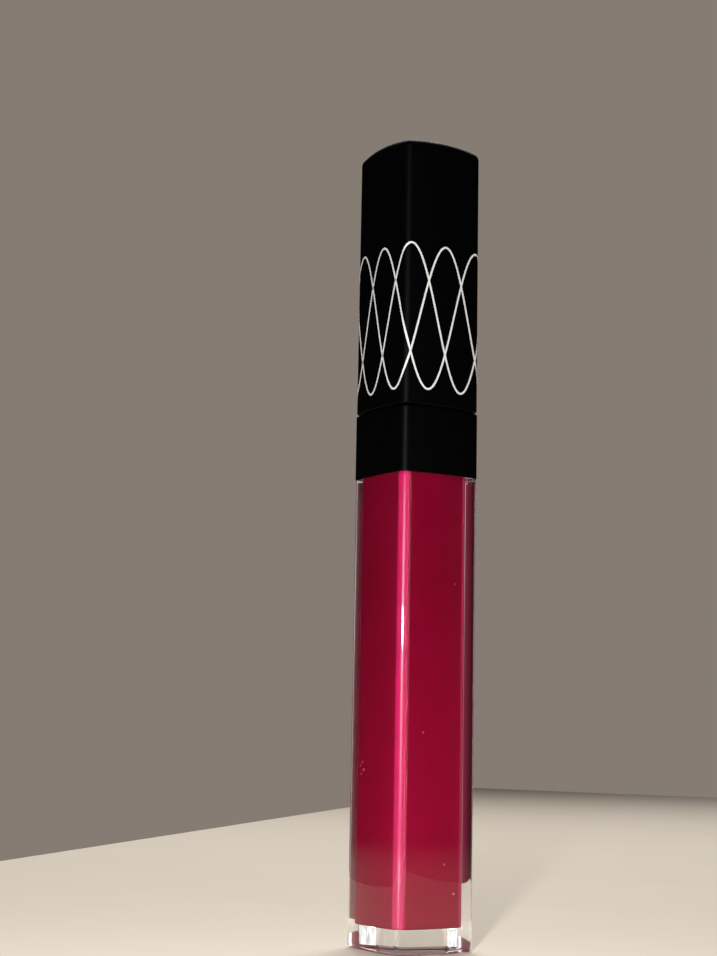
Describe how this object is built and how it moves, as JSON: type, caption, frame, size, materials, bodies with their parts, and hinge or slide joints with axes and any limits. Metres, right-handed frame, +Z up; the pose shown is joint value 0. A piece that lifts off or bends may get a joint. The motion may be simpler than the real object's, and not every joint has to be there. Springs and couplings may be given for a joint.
{
  "type": "lip gloss tube",
  "caption": "Square clear lip gloss tube with softly bowed sides, a matte black collar, and a matte black screw cap that carries a flocked doe-foot wand.",
  "frame": {"origin": "centre of the base's resting face", "axes": "+Z up along the tube's axis, from the base to the cap's top; X and Y are square to the four sides"},
  "size_m": [0.0148, 0.0148, 0.1199],
  "materials": {
    "clear_body": "clear polished thick-wall copolyester",
    "gloss": "wet magenta-pink lip gloss",
    "label": "plain silver-grey film sticker, no print",
    "soft_touch": "black soft-touch lacquer on ABS",
    "wiper_plastic": "natural low-density polyethylene",
    "liner_plastic": "black moulded polypropylene",
    "rod_plastic": "smooth white moulded rod, wet with gloss at its lower end",
    "flock": "short nylon flock soaked in gloss"
  },
  "bodies": {
    "tube": {"bottle": "clear_body", "gloss_fill": "gloss", "shade_label": "label", "collar": "soft_touch", "wiper": "wiper_plastic"},
    "rod": {"wand_rod": "rod_plastic"},
    "cap": {"cap_shell": "soft_touch", "inner_cap": "liner_plastic", "applicator_tip": "flock"}
  },
  "joints": [
    {"name": "wand_lift", "type": "slide", "parent": "tube", "child": "rod", "axis": [0, 0, 1], "range_m": [0, 0.09]},
    {"name": "cap_unscrew", "type": "hinge", "parent": "rod", "child": "cap", "pos_m": [0, 0, 0.0785], "axis": [0, 0, 1], "range_deg": [0, 450]}
  ]
}
